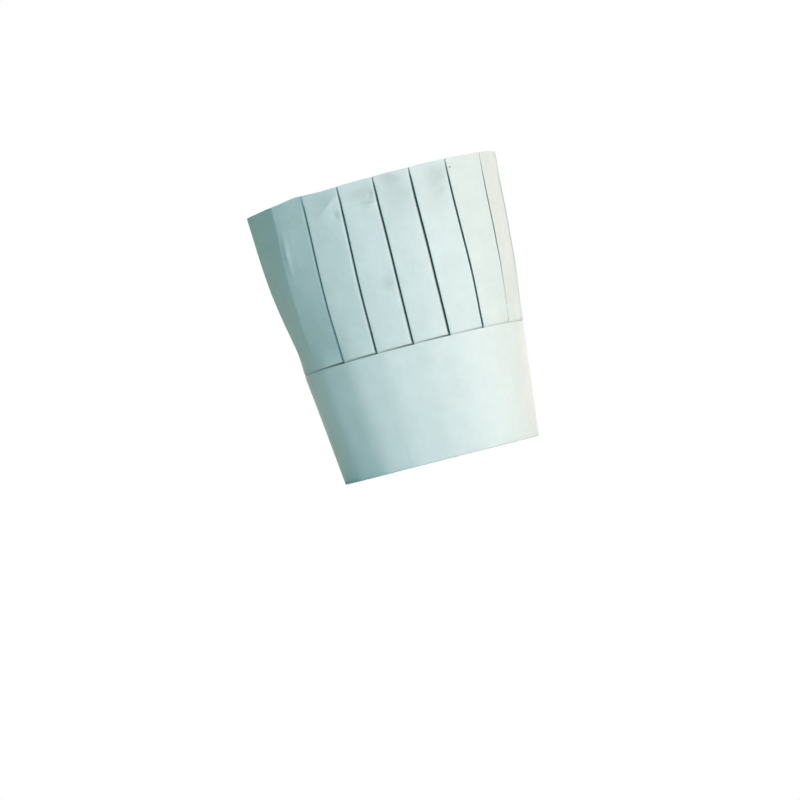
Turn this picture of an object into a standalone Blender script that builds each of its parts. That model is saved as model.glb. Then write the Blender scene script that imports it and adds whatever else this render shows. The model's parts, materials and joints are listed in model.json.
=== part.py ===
"""Pleated paper chef's toque: a folded headband under a tall knife-pleated crown.

Units are metres and +Z is up. The hat stands on its lower edge at z = 0 with its
front towards +X. Places round the hat are shares of the girth, counted
anticlockwise from the middle of the wearer's right side (-Y): the front is at a
quarter, the back at three quarters. Depth is measured inwards from the outer skin.
"""

from functools import lru_cache

import bmesh
import bpy
import numpy as np
from mathutils import Vector

# Outer form: lengths run front to back
BAND_LENGTH = 0.200
BAND_WIDTH = 0.156
SEAM_LENGTH = 0.226
SEAM_WIDTH = 0.176
RIM_LENGTH = 0.258
RIM_WIDTH = 0.208
BAND_HEIGHT = 0.117
HAT_HEIGHT = 0.284
OVAL_POWER = 2.25          # 2 is an ellipse, more fills out the corners
CROWN_SWELL = 0.0022       # how far the crown bows out beyond a straight cone
SWELL_HEIGHT = 0.067       # where it bows most, above the band

# Paper, and the clearance that neighbouring layers keep
PAPER = 0.0004
GAP = 0.0003

# Headband: the lower edge is turned up inside as a hem, and one end is tucked
# into the fold of the other behind the left side of the head
HEM_HEIGHT = 0.014
LAP_BEHIND = 0.030         # join line, from the middle of the back
TUCK_LENGTH = 0.040
TUCK_JOG = 0.006           # length over which the tucked end steps inwards
TUCK_TOP_CLEARANCE = 0.004

# Crown: knife pleats, glued flat inside the top of the band
PLEATS = 18
PLEAT_UNDERLAY = 0.009
PLEAT_DEPTH = 0.0032       # of the hidden layer, on its centre line
PLEAT_RETURN = 0.0015      # of the layer between, on its centre line
PLEAT_SLIT = 0.0018        # open width between two panels
PLEAT_DROP = 0.0006        # how far a panel's end dips at the slit
LAP_HEIGHT = 0.013         # glued depth inside the band
EDGE_RISE = 0.0015         # pleats stay pressed this far above the band

# Facing strip that covers the hem and the crown's glued edge
FACING_FOOT = 0.005
FACING_DROP = 0.004        # below the top of the band
FACING_BUTT = 0.001        # gap between its ends at the back

# Absorbent strip inside the forehead
SWEATBAND_LENGTH = 0.190
SWEATBAND_HEIGHT = 0.035
SWEATBAND_THICKNESS = 0.0012
SWEATBAND_FOOT = 0.009

# Flat top, set inside the rim on a turned-down flange
TOP_RECESS = 0.0025
TOP_FLANGE = 0.011
VENTS = 10
VENT_RADIUS = 0.0025
VENT_RING_LENGTH = 0.130   # length of the oval that the vents lie on

# Size tab across the join of the band, with hook-and-loop patches under it
TAB_HEIGHT = 0.034
TAB_LENGTH = 0.046
TAB_ROOT = 0.014           # glued part
TAB_ROUND = 0.009          # radius of the free corners
TAB_RISE = 0.012           # length in which it climbs over the patches
CREASE = 0.0003            # open width at the fold line
PATCH_MARGIN = 0.004       # patches stay this far inside the tab's edges
HOOK_LENGTH = 0.022
HOOK_THICKNESS = 0.0006
LOOP_LENGTH = 0.058
LOOP_THICKNESS = 0.0005
LOOP_START = 0.004         # from the join line

# Resolution
OVAL_STEPS = 2880
RING_STATIONS = 72
PATCH_STATIONS = 10
VENT_SIDES = 12

FRONT = 0.25
BACK = 0.75
HALF_SHEET = PAPER / 2
LAYER = PAPER + GAP
LAP_LAYERS = 3                                       # sheets at a pressed pleat
LAP_OUTSIDE = LAYER
LAP_INSIDE = LAP_OUTSIDE + LAP_LAYERS * PAPER + (LAP_LAYERS - 1) * GAP
FACING_OUTSIDE = LAP_INSIDE + GAP
SWEATBAND_OUTSIDE = FACING_OUTSIDE + PAPER + GAP
TOP_OUTSIDE = PLEAT_DEPTH + HALF_SHEET + GAP
LOOP_INSIDE = -GAP                                   # negative depth is outside the skin
HOOK_INSIDE = LOOP_INSIDE - LOOP_THICKNESS - GAP
TAB_FREE_INSIDE = HOOK_INSIDE - HOOK_THICKNESS - GAP
TAB_ROOT_INSIDE = -GAP
TAB_MIDDLE = BAND_HEIGHT / 2


def clear_scene():
    """Remove whatever the file opened with."""
    for obj in list(bpy.data.objects):
        bpy.data.objects.remove(obj, do_unlink=True)


def new_collection(name):
    """Collection linked to the scene."""
    collection = bpy.data.collections.new(name)
    bpy.context.scene.collection.children.link(collection)
    return collection


def make_material(name, colour, roughness):
    """Plain Principled material for one kind of sheet."""
    material = bpy.data.materials.new(name)
    material.use_nodes = True
    shader = material.node_tree.nodes["Principled BSDF"]
    shader.inputs["Base Color"].default_value = (*colour, 1.0)
    shader.inputs["Roughness"].default_value = roughness
    shader.inputs["Metallic"].default_value = 0.0
    return material


@lru_cache(maxsize=None)
def oval(length, width):
    """Arc lengths and points of one superellipse, from -Y anticlockwise."""
    turn = np.linspace(-0.5 * np.pi, 1.5 * np.pi, OVAL_STEPS + 1)
    x = 0.5 * length * np.sign(np.cos(turn)) * np.abs(np.cos(turn)) ** (2 / OVAL_POWER)
    y = 0.5 * width * np.sign(np.sin(turn)) * np.abs(np.sin(turn)) ** (2 / OVAL_POWER)
    steps = np.hypot(np.diff(x), np.diff(y))
    return np.concatenate(([0.0], np.cumsum(steps))), x, y


def wall_size(z):
    """Outside length and width of the hat at a height."""
    heights = (0.0, BAND_HEIGHT, HAT_HEIGHT)
    length = np.interp(z, heights, (BAND_LENGTH, SEAM_LENGTH, RIM_LENGTH))
    width = np.interp(z, heights, (BAND_WIDTH, SEAM_WIDTH, RIM_WIDTH))
    return float(length), float(width)


def girth(z):
    """Distance round the outside at a height."""
    return float(oval(*wall_size(z))[0][-1])


def skin(share, z, depth=0.0):
    """Point at a share of the girth and a height, sunk in by a depth."""
    length, width = wall_size(z)
    arc, x_table, y_table = oval(length, width)
    place = (share % 1.0) * arc[-1]
    x = float(np.interp(place, arc, x_table))
    y = float(np.interp(place, arc, y_table))
    across = np.sign(x) * abs(2 * x / length) ** (OVAL_POWER - 1) / length
    along = np.sign(y) * abs(2 * y / width) ** (OVAL_POWER - 1) / width
    outward = Vector((across, along, 0.0)).normalized()
    return Vector((x, y, z)) - outward * float(depth)


def add_object(bm, name, collection, material=None):
    """Turn a bmesh into an object of the collection, with its faces outwards."""
    bmesh.ops.recalc_face_normals(bm, faces=bm.faces)
    mesh = bpy.data.meshes.new(name)
    bm.to_mesh(mesh)
    bm.free()
    obj = bpy.data.objects.new(name, mesh)
    collection.objects.link(obj)
    if material is not None:
        mesh.materials.append(material)
    return obj


def loft(sections):
    """Closed body through equal-sided sections that change along the way."""
    bm = bmesh.new()
    rows = [[bm.verts.new(point) for point in section] for section in sections]
    count = len(rows[0])
    for near, far in zip(rows, rows[1:]):
        for i in range(count):
            j = (i + 1) % count
            bm.faces.new((near[i], near[j], far[j], far[i]))
    bm.faces.new(rows[0])
    bm.faces.new(rows[-1])
    return bm


def strip_sections(shares, profile):
    """Sections of a strip: profile(i) gives the corners at station i as (depth, z)."""
    return [[skin(share, z, depth) for depth, z in profile(i)] for i, share in enumerate(shares)]


def rectangle(outside, thickness, foot, top):
    """Corners of a flat strip's section."""
    return ((outside, top), (outside, foot), (outside + thickness, foot), (outside + thickness, top))


def make_headband(collection, cutters, material):
    """Folded strip: outer ply, flat lower edge, turned-up hem and tucked end."""
    lap = BACK - LAP_BEHIND / girth(TAB_MIDDLE)
    butt = GAP / girth(TAB_MIDDLE)
    section = (
        (0.0, BAND_HEIGHT),
        (0.0, 0.0),
        (LAP_INSIDE, 0.0),
        (LAP_INSIDE, HEM_HEIGHT),
        (LAP_INSIDE - PAPER, HEM_HEIGHT),
        (LAP_INSIDE - PAPER, PAPER),
        (PAPER, PAPER),
        (PAPER, BAND_HEIGHT),
    )
    shares = np.linspace(lap, lap + 1.0 - butt, RING_STATIONS + 1)
    band = add_object(loft(strip_sections(shares, lambda i: section)), "headband", collection, material)

    # The tucked end starts inside the outer ply, steps in behind it and runs on
    jog = TUCK_JOG / girth(TAB_MIDDLE)
    reach = TUCK_LENGTH / girth(TAB_MIDDLE)
    end = lap + 1.0 - butt
    root_inset = PAPER / 4
    foot = LAYER
    top = BAND_HEIGHT - LAP_HEIGHT - TUCK_TOP_CLEARANCE
    starts = (end - 2 * jog, end - jog, end - jog / 4, *np.linspace(end, end + reach, PATCH_STATIONS))
    depths = (root_inset, root_inset, LAYER, *([LAYER] * PATCH_STATIONS))
    sheet = (PAPER / 2, PAPER / 2, PAPER, *([PAPER] * PATCH_STATIONS))
    tuck = add_object(
        loft(strip_sections(starts, lambda i: rectangle(depths[i], sheet[i], foot, top))),
        "tucked_end_tool",
        cutters,
    )
    tuck.hide_render = True
    tuck.display_type = "WIRE"
    join = band.modifiers.new("tucked_end", "BOOLEAN")
    join.operation = "UNION"
    join.solver = "EXACT"
    join.object = tuck
    return band


def pleat_arc(index, quarter, pitch):
    """Arc position of a pleat: even along the sides, fanning out at front and back."""
    per_quarter = PLEATS / 4
    turns = index / per_quarter
    side = 2 * round(turns / 2)
    from_side = (turns - side) * per_quarter
    fan = (quarter - pitch * per_quarter) * (from_side / per_quarter) ** 3
    return side * quarter + pitch * from_side + fan


def folded_line(z, pressed, swell=0.0):
    """Centre line of the pleated sheet round one level."""
    loop = girth(z)
    pitch = girth(BAND_HEIGHT) / PLEATS
    if pressed:
        outer = end_depth = LAP_OUTSIDE + HALF_SHEET
        back = outer + LAYER
        under = back + LAYER
    else:
        outer = HALF_SHEET - swell
        end_depth = outer + PLEAT_DROP
        back = PLEAT_RETURN - swell
        under = PLEAT_DEPTH - swell
    half_slit = PLEAT_SLIT / 2
    line = []
    for index in range(PLEATS):
        start = pleat_arc(index, loop / 4, pitch)
        end = pleat_arc(index + 1, loop / 4, pitch)
        line += (
            (start + half_slit, outer),
            (start + PLEAT_UNDERLAY, outer),
            ((start + PLEAT_UNDERLAY + end) / 2, outer),
            (end - half_slit - HALF_SHEET, end_depth),
            (end - HALF_SHEET, under),
            (end + PLEAT_UNDERLAY, under),
            (end + PLEAT_UNDERLAY, back),
            (end + half_slit, back),
        )
    return [skin(arc / loop, z, depth) for arc, depth in line]


def make_crown(collection, material):
    """One sheet folded into knife pleats and glued inside the top of the band."""
    levels = (
        folded_line(BAND_HEIGHT - LAP_HEIGHT, pressed=True),
        folded_line(BAND_HEIGHT + EDGE_RISE, pressed=True),
        folded_line(BAND_HEIGHT + SWELL_HEIGHT, pressed=False, swell=CROWN_SWELL),
        folded_line(HAT_HEIGHT, pressed=False),
    )
    bm = bmesh.new()
    rows = [[bm.verts.new(point) for point in level] for level in levels]
    count = len(rows[0])
    for low, high in zip(rows, rows[1:]):
        for i in range(count):
            j = (i + 1) % count
            bm.faces.new((low[i], low[j], high[j], high[i]))
    crown = add_object(bm, "pleated_crown", collection, material)
    sheet = crown.modifiers.new("sheet", "SOLIDIFY")
    sheet.thickness = PAPER
    sheet.offset = 0.0
    sheet.use_even_offset = True
    return crown


def make_facing(collection, material):
    """Inner strip over the hem and the crown's glued edge, butted at the back."""
    half_butt = FACING_BUTT / girth(TAB_MIDDLE) / 2
    shares = np.linspace(BACK + half_butt, BACK + 1.0 - half_butt, RING_STATIONS + 1)
    section = rectangle(FACING_OUTSIDE, PAPER, FACING_FOOT, BAND_HEIGHT - FACING_DROP)
    return add_object(loft(strip_sections(shares, lambda i: section)), "headband_facing", collection, material)


def make_sweatband(collection, material):
    """Soft strip on the facing, across the forehead."""
    half = SWEATBAND_LENGTH / girth(SWEATBAND_FOOT) / 2
    shares = np.linspace(FRONT - half, FRONT + half, 2 * PATCH_STATIONS)
    top = SWEATBAND_FOOT + SWEATBAND_HEIGHT
    section = rectangle(SWEATBAND_OUTSIDE, SWEATBAND_THICKNESS, SWEATBAND_FOOT, top)
    return add_object(loft(strip_sections(shares, lambda i: section)), "sweatband", collection, material)


def make_crown_top(collection, cutters, material):
    """Flat vented top on a flange that is glued inside the pleats."""
    level = HAT_HEIGHT - TOP_RECESS
    bm = bmesh.new()
    disc = bmesh.ops.create_circle(bm, cap_ends=True, segments=RING_STATIONS, radius=1.0)["verts"]
    for i, vert in enumerate(disc):
        vert.co = skin(i / RING_STATIONS, level, TOP_OUTSIDE)
    hem = bmesh.ops.extrude_edge_only(bm, edges=[edge for edge in bm.edges if edge.is_boundary])
    skirt = [item for item in hem["geom"] if isinstance(item, bmesh.types.BMVert)]
    for vert in skirt:
        i = min(range(len(disc)), key=lambda n: (disc[n].co - vert.co).length)
        vert.index = i
    for vert in skirt:
        vert.co = skin(vert.index / RING_STATIONS, level - TOP_FLANGE, TOP_OUTSIDE)
    top = add_object(bm, "crown_top", collection, material)
    sheet = top.modifiers.new("sheet", "SOLIDIFY")
    sheet.thickness = PAPER
    sheet.offset = -1.0
    sheet.use_even_offset = True

    drill = bmesh.new()
    ring = (VENT_RING_LENGTH, VENT_RING_LENGTH * RIM_WIDTH / RIM_LENGTH)
    arc, x_table, y_table = oval(*ring)
    for i in range(VENTS):
        place = (i + 0.5) / VENTS * arc[-1]
        hole = bmesh.ops.create_cone(
            drill,
            cap_ends=True,
            segments=VENT_SIDES,
            radius1=VENT_RADIUS,
            radius2=VENT_RADIUS,
            depth=TOP_FLANGE,
        )
        centre = Vector((np.interp(place, arc, x_table), np.interp(place, arc, y_table), level))
        bmesh.ops.translate(drill, verts=hole["verts"], vec=centre)
    vents = add_object(drill, "vent_cutter", cutters)
    vents.hide_render = True
    vents.display_type = "WIRE"
    cut = top.modifiers.new("vents", "BOOLEAN")
    cut.operation = "DIFFERENCE"
    cut.solver = "EXACT"
    cut.object = vents
    return top


def tab_half_height(along):
    """Half height of the tab at a distance from its fold line, round at the free end."""
    into_round = max(0.0, along - (TAB_LENGTH - TAB_ROUND))
    drop = TAB_ROUND - (TAB_ROUND ** 2 - min(into_round, TAB_ROUND) ** 2) ** 0.5
    return TAB_HEIGHT / 2 - drop


def make_closure(collection, materials):
    """Size tab with its glued root, its hook patch and the loop strip on the band."""
    loop = girth(TAB_MIDDLE)
    join = BACK - LAP_BEHIND / loop
    crease = join + CREASE / loop
    half = TAB_HEIGHT / 2
    low, high = TAB_MIDDLE - half, TAB_MIDDLE + half

    pivot = bpy.data.objects.new("tab_crease", None)
    collection.objects.link(pivot)
    pivot.location = skin(crease, TAB_MIDDLE, TAB_ROOT_INSIDE - PAPER)
    axis = skin(crease, high) - skin(crease, low)
    pivot.rotation_mode = "QUATERNION"
    pivot.rotation_quaternion = axis.to_track_quat("Z", "Y")
    bpy.context.view_layer.update()

    root_shares = np.linspace(crease + CREASE / 2 / loop, crease + (CREASE / 2 + TAB_ROOT) / loop, PATCH_STATIONS)
    root = rectangle(TAB_ROOT_INSIDE - PAPER, PAPER, low, high)
    add_object(loft(strip_sections(root_shares, lambda i: root)), "tab_root", collection, materials["tab"])

    # The free part leaves the fold line towards the wearer's left and climbs over the patches
    along = np.concatenate((
        np.linspace(CREASE / 2, TAB_LENGTH - TAB_ROUND, PATCH_STATIONS),
        TAB_LENGTH - TAB_ROUND + TAB_ROUND * np.sin(np.linspace(0.0, 0.5 * np.pi, PATCH_STATIONS)[1:]),
    ))

    def flap_section(i):
        climb = min(1.0, along[i] / TAB_RISE)
        inside = TAB_ROOT_INSIDE + (TAB_FREE_INSIDE - TAB_ROOT_INSIDE) * climb
        reach = tab_half_height(along[i])
        return rectangle(inside - PAPER, PAPER, TAB_MIDDLE - reach, TAB_MIDDLE + reach)

    flap = add_object(
        loft(strip_sections(crease - along / loop, flap_section)), "closure_tab", collection, materials["tab"]
    )

    hook_end = TAB_LENGTH - PATCH_MARGIN
    hook_shares = crease - np.linspace(hook_end - HOOK_LENGTH, hook_end, PATCH_STATIONS) / loop
    patch_low, patch_high = low + PATCH_MARGIN, high - PATCH_MARGIN
    hook = rectangle(HOOK_INSIDE - HOOK_THICKNESS, HOOK_THICKNESS, patch_low, patch_high)
    pad = add_object(
        loft(strip_sections(hook_shares, lambda i: hook)), "hook_pad", collection, materials["hook"]
    )

    loop_shares = join - np.linspace(LOOP_START, LOOP_START + LOOP_LENGTH, 2 * PATCH_STATIONS) / loop
    pile = rectangle(LOOP_INSIDE - LOOP_THICKNESS, LOOP_THICKNESS, patch_low, patch_high)
    add_object(
        loft(strip_sections(loop_shares, lambda i: pile)), "loop_strip", collection, materials["loop"]
    )

    for moving in (flap, pad):
        moving.data.transform(pivot.matrix_world.inverted())
        moving.parent = pivot


def main():
    """Build the whole hat."""
    clear_scene()
    hat = new_collection("pleated_paper_toque")
    cutters = new_collection("cutters")
    white_paper = make_material("white_paper", (0.86, 0.88, 0.87), 0.75)
    top_paper = make_material("white_tissue_paper", (0.87, 0.88, 0.87), 0.85)
    facing_paper = make_material("white_facing_paper", (0.84, 0.86, 0.85), 0.8)
    crepe = make_material("white_crepe_wadding", (0.88, 0.88, 0.86), 0.95)
    closure = {
        "tab": make_material("white_tab_paper", (0.86, 0.88, 0.87), 0.7),
        "hook": make_material("white_nylon_hooks", (0.80, 0.81, 0.80), 0.55),
        "loop": make_material("white_nylon_loops", (0.84, 0.85, 0.84), 0.9),
    }
    make_headband(hat, cutters, white_paper)
    make_facing(hat, facing_paper)
    make_crown(hat, white_paper)
    make_crown_top(hat, cutters, top_paper)
    make_sweatband(hat, crepe)
    make_closure(hat, closure)


main()
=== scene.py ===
"""Looks of a pleated paper chef's toque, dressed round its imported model.

The hat stands on its lower edge at z = 0 with its front towards +X, and is looked at
from the wearer's right (-Y). Places round it are shares of the girth, counted
anticlockwise from the middle of that side: the front is at a quarter, the back at
three quarters. Depth runs inwards from the outer skin. Lengths are in metres.
"""

import json
from functools import lru_cache
from math import cos, pi, radians, sin

import bmesh
import bpy
import numpy as np
from bpy.props import FloatProperty, FloatVectorProperty, IntProperty, PointerProperty
from mathutils import Matrix, Vector, noise


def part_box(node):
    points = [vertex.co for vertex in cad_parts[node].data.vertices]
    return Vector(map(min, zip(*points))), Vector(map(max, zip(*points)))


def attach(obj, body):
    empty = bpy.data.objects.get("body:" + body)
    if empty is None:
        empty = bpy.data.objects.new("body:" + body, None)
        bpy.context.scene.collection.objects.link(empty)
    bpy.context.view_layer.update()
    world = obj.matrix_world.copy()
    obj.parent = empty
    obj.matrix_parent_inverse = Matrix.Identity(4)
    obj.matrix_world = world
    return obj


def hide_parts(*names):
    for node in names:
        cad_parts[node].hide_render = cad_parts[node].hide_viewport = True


bl_info = {
    "name": "Pleated paper toque",
    "version": (1, 0, 0),
    "blender": (4, 5, 0),
    "location": "View3D > Sidebar > Toque",
    "description": "Folds the paper pieces of a pleated chef's toque and sets a plain studio round it",
    "category": "Add Mesh",
}

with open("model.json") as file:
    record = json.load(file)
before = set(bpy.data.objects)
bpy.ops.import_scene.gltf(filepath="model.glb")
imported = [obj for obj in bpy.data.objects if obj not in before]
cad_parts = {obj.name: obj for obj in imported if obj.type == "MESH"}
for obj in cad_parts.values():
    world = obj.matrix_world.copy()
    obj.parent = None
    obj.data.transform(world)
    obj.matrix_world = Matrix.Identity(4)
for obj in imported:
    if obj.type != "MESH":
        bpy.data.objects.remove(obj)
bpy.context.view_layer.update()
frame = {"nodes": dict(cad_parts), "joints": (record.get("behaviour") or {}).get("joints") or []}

MM = 0.001
FRONT, BACK = 0.25, 0.75
OVAL_STEPS = 2880
JOINT = frame["joints"][0]


def node_outline(name, level):
    """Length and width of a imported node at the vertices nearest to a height."""
    points = np.array([vert.co for vert in frame["nodes"][name].data.vertices])
    ring = points[np.abs(points[:, 2] - level) < MM]
    return tuple(float(span) for span in 2 * np.abs(ring[:, :2]).max(axis=0))


def linear(code):
    """Linear colour of an sRGB hex code."""
    parts = [int(code[i:i + 2], 16) / 255 for i in (1, 3, 5)]
    return tuple(c / 12.92 if c <= 0.04045 else ((c + 0.055) / 1.055) ** 2.4 for c in parts)


BAND_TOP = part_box("headband")[1].z
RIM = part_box("pleated_crown")[1].z
FOOT_SIZE = node_outline("headband", 0.0)
SEAM_SIZE = node_outline("headband", BAND_TOP)
RIM_SIZE = node_outline("pleated_crown", RIM)


def length(name, default, description):
    """Length property in metres."""
    return FloatProperty(
        name=name, description=description, default=default, min=0.0, precision=5, unit="LENGTH"
    )


def colour(name, code, description):
    """Colour property from an sRGB hex code."""
    return FloatVectorProperty(
        name=name, description=description, default=linear(code), subtype="COLOR", min=0.0, max=1.0
    )


class ToqueForm(bpy.types.PropertyGroup):
    """Sizes of the hat."""

    foot_length: length("Foot length", FOOT_SIZE[0], "Front to back at the lower edge")
    foot_width: length("Foot width", FOOT_SIZE[1], "Side to side at the lower edge")
    seam_length: length("Seam length", SEAM_SIZE[0], "Front to back where the crown leaves the band")
    seam_width: length("Seam width", SEAM_SIZE[1], "Side to side where the crown leaves the band")
    rim_length: length("Rim length", RIM_SIZE[0], "Front to back at the top")
    rim_width: length("Rim width", RIM_SIZE[1], "Side to side at the top")
    band_height: length("Band height", BAND_TOP, "Height of the headband")
    hat_height: length("Hat height", RIM, "Height of the whole hat")
    oval_power: FloatProperty(
        name="Oval power", description="2 is an ellipse, more fills out the corners", default=2.25, min=2.0
    )
    paper: length("Paper", 0.0003, "Drawn thickness of the stiff paper")
    tissue: length("Tissue", 0.0002, "Drawn thickness of the top's tissue")
    swell: length("Swell", 0.0023, "How far the crown bows out beyond a straight cone")
    pleats: IntProperty(name="Pleats", description="Knife pleats round the crown", default=18, min=6)
    underlay: length("Underlay", 0.009, "Paper hidden behind each pleat")
    slit: length("Slit", 0.0018, "Open width between two panels")
    vents: IntProperty(name="Vents", description="Air holes in the top", default=10, min=0)
    vent_radius: length("Vent radius", 0.0025, "Radius of an air hole")


class ToqueColours(bpy.types.PropertyGroup):
    """Colours of the papers and patches."""

    crown: colour("Crown paper", "#E9EFEC", "Outside of the pleated crown")
    band: colour("Band paper", "#EBF0ED", "Outside of the headband and the size tab")
    facing: colour("Facing paper", "#E4E6E2", "Strip inside the headband")
    tissue: colour("Top tissue", "#EBEEEB", "Thin paper of the flat top")
    crepe: colour("Crepe wadding", "#F0EFEA", "Strip across the forehead")
    nylon: colour("Nylon", "#DDE1DF", "Hooks and loops of the size tab")


class ToqueStage(bpy.types.PropertyGroup):
    """Camera and light."""

    lean: FloatProperty(
        name="Lean", description="How far the hat leans back in the picture", default=radians(14.3),
        subtype="ANGLE",
    )
    distance: length("Distance", 2.9, "Camera to the middle of the hat")
    view_width: length("View width", 0.803, "Width of the picture at the hat")
    eye_height: length("Eye height", 0.008, "Camera above the lower edge")
    key: colour("Key light", "#FFEEE9", "Large soft lamp at the front right")
    fill: colour("Fill light", "#53C9FF", "Broad weak lamp above the camera")
    around: colour("Surrounding light", "#305816", "Even light from all round")
    back: colour("Back light", "#FFEDFF", "Large lamp behind, which evens out the green around")
    side: colour("Side light", "#FFE7FF", "Weak lamp behind, towards the back of the hat")


def form():
    """Sizes of the hat in this scene."""
    return bpy.context.scene.toque_form


def colours():
    """Colours of the hat in this scene."""
    return bpy.context.scene.toque_colours


# Oval walls

@lru_cache(maxsize=None)
def oval(length, width, power):
    """Arc lengths and points of one superellipse, from -Y anticlockwise."""
    turn = np.linspace(-0.5 * pi, 1.5 * pi, OVAL_STEPS + 1)
    x = 0.5 * length * np.sign(np.cos(turn)) * np.abs(np.cos(turn)) ** (2 / power)
    y = 0.5 * width * np.sign(np.sin(turn)) * np.abs(np.sin(turn)) ** (2 / power)
    steps = np.hypot(np.diff(x), np.diff(y))
    return np.concatenate(([0.0], np.cumsum(steps))), x, y


def wall_size(z):
    """Outside length and width of the hat at a height."""
    f = form()
    heights = (0.0, f.band_height, f.hat_height)
    long = np.interp(z, heights, (f.foot_length, f.seam_length, f.rim_length))
    wide = np.interp(z, heights, (f.foot_width, f.seam_width, f.rim_width))
    return float(long), float(wide)


def girth(z):
    """Distance round the outside at a height."""
    return float(oval(*wall_size(z), form().oval_power)[0][-1])


def ring(z, shares, depths):
    """Points round one level, at shares of the girth and depths in from the skin."""
    long, wide = wall_size(z)
    power = form().oval_power
    arc, x_table, y_table = oval(long, wide, power)
    place = (np.asarray(shares) % 1.0) * arc[-1]
    x = np.interp(place, arc, x_table)
    y = np.interp(place, arc, y_table)
    across = np.sign(x) * np.abs(2 * x / long) ** (power - 1) / long
    along = np.sign(y) * np.abs(2 * y / wide) ** (power - 1) / wide
    reach = np.hypot(across, along)
    return np.column_stack((x - across / reach * depths, y - along / reach * depths, np.full_like(x, z)))


def on_skin(share, z, depth):
    """Placement on the skin: X along the girth, Y up, Z outwards."""
    near = ring(z, [share - 1e-4, share, share + 1e-4], [depth] * 3)
    deeper = ring(z, [share], [depth + MM])[0]
    along = Vector(near[2] - near[0]).normalized()
    outwards = Vector(near[1] - deeper).normalized()
    place = Matrix((along, outwards.cross(along), outwards)).transposed().to_4x4()
    place.translation = Vector(near[1])
    return place


def share_of(point):
    """Share of the girth at which a point of the frame lies."""
    _, x_table, y_table = oval(*wall_size(point[2]), form().oval_power)
    return int(np.argmin(np.hypot(x_table - point[0], y_table - point[1]))) / OVAL_STEPS


def fold_share():
    """Share of the girth at the size tab's fold line."""
    return share_of(JOINT["pos_m"])


def signed(shares):
    """Shares of the girth as steps from the nearest whole turn, -0.5 to 0.5."""
    return (shares + 0.5) % 1.0 - 0.5


def crown_height():
    """Height of the crown above the band."""
    return form().hat_height - form().band_height


def steps(count, end=1.0):
    """Even steps from 0 to an end, without the start."""
    return np.linspace(0.0, end, count + 1)[1:]


def smooth(value, low, high):
    """Ease from 0 at low to 1 at high."""
    t = np.clip((np.asarray(value, float) - low) / (high - low), 0.0, 1.0)
    return t * t * (3 - 2 * t)


def hump(value, begins, full, still_full, ends):
    """Ease from 0 up to 1, stay there and ease down again."""
    return smooth(value, begins, full) * (1.0 - smooth(value, still_full, ends))


def ripple(points, across, up, seed):
    """Soft unevenness from -1 to 1 at each point, of a size across and up the hat."""
    shift = Vector((seed * 3.7, seed * 1.9, seed * 5.3))
    return np.array([
        noise.noise(Vector((x / across, y / across, z / up)) + shift) for x, y, z in points
    ])


# Fold lines

SIDE_PITCH = 1.028         # pleats along the sides stand this much wider than the average
FAN_POWER = 3.3            # how late the fold lines begin to spread towards front and back
FOLD_LEAN = 0.9 * MM       # how far the fold lines lean forwards from the seam to the rim
LEAN_PIVOT = 0.55          # share of the crown's height where they keep their place
FOLD_WANDER = 0.8 * MM
WANDER_LENGTH = 70 * MM    # height over which a fold line wanders once
WANDER_EASE = 25 * MM
FOLD_SHIFTS = {            # fold lines that stray: how far along the girth at the seam and at the rim
    3: (-1.2 * MM, 4.8 * MM), 15: (-4.0 * MM, 6.5 * MM), 16: (0.4 * MM, 1.8 * MM),
    17: (-0.3 * MM, 1.4 * MM),
}
BAND_FLAT = 0.35           # share of the way to flat that the band goes between its soft bends
STILL = (-44 * MM, 66 * MM)          # stretch round the tab's fold line where the band stays even
STILL_EASE = 25 * MM
SEAM_LOW = 0.8 * MM        # how far the band's upper edge settles at the sides
SEAM_DIP = 1.2 * MM        # and how much more at front and back
SEAM_PULL = (-40 * MM, -6 * MM, 6 * MM, 80 * MM)     # heights from the seam: begins, full, full, ends


def fold_lines(height):
    """Arc positions of the fold lines at a height above the band, and again of the first one.

    They are even along the sides and fan out at front and back."""
    f = form()
    loop = girth(f.band_height + height)
    quarter = loop / 4
    per_quarter = f.pleats / 4
    pitch = SIDE_PITCH * girth(f.band_height) / f.pleats
    index = np.arange(f.pleats)
    side = 2 * np.round(index / per_quarter / 2)
    from_side = index - side * per_quarter
    spread = np.sign(from_side) * (np.abs(from_side) / per_quarter) ** FAN_POWER
    fan = (quarter - pitch * per_quarter) * spread
    risen = max(0.0, height) / crown_height()
    lean = FOLD_LEAN * (risen - LEAN_PIVOT) * np.where(side == 2, -1.0, 1.0)
    drift = [noise.noise(Vector((k * 3.1, height / WANDER_LENGTH, 0.5))) for k in index]
    wander = FOLD_WANDER * float(smooth(height, 0.0, WANDER_EASE)) * np.array(drift)
    stray = [np.interp(risen, (0.0, 1.0), FOLD_SHIFTS.get(k, (0.0, 0.0))) for k in index]
    arcs = side * quarter + pitch * from_side + fan + lean + wander + np.array(stray)
    return np.append(arcs, arcs[0] + loop)


def flats(z, folds, arcs, soft=False):
    """Depths by which flat panels between fold lines stand back from the round skin."""
    loop = girth(z)
    ends = ring(z, folds / loop, 0.0)
    middles = ring(z, (folds[:-1] + folds[1:]) / 2 / loop, 0.0)
    rise = np.linalg.norm((ends[:-1] + ends[1:]) / 2 - middles, axis=1)
    place = (np.asarray(arcs) - folds[0]) % loop + folds[0]
    panel = np.clip(np.searchsorted(folds, place, side="right") - 1, 0, len(rise) - 1)
    p = (place - folds[panel]) / (folds[panel + 1] - folds[panel])
    return rise[panel] * (np.sin(pi * p) ** 2 if soft else 4 * p * (1 - p))


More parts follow.
